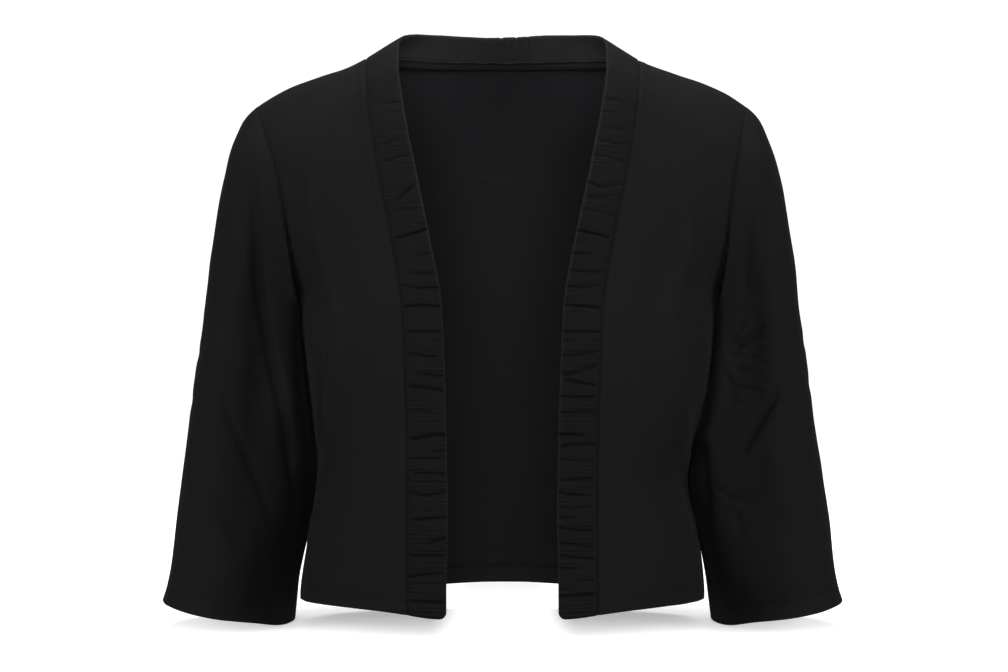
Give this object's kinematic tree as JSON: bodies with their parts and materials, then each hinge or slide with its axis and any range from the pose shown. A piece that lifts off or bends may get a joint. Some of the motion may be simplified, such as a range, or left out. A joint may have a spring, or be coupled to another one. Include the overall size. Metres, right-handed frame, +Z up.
{
  "type": "open-front cropped cardigan",
  "caption": "Open-front cropped jersey cardigan with a gathered band along both fronts and the neck, and three-quarter sleeves, hollow as if worn.",
  "frame": {"origin": "midway between the two points where the shoulder seams meet the neck band, on a level with them", "axes": "+X to the wearer's left, the garment's widest way; -Y to the wearer's front and +Y to the back; +Z up. X = 0 is the garment's plane of symmetry"},
  "size_m": [0.5524, 0.2444, 0.4819],
  "materials": {
    "body_jersey": "fine black viscose jersey, matt, with faint vertical wales and a soft sheen along its edges",
    "sleeve_jersey": "the same black jersey, cut for the sleeves and turned away from the light",
    "band_jersey": "the same black jersey, folded double and gathered, with fine creases across it"
  },
  "bodies": {
    "root": {"back": "body_jersey", "front_left": "body_jersey", "front_right": "body_jersey", "sleeve_left": "sleeve_jersey", "sleeve_right": "sleeve_jersey", "band_left": "band_jersey", "band_right": "band_jersey", "neck_band": "band_jersey"}
  },
  "joints": []
}
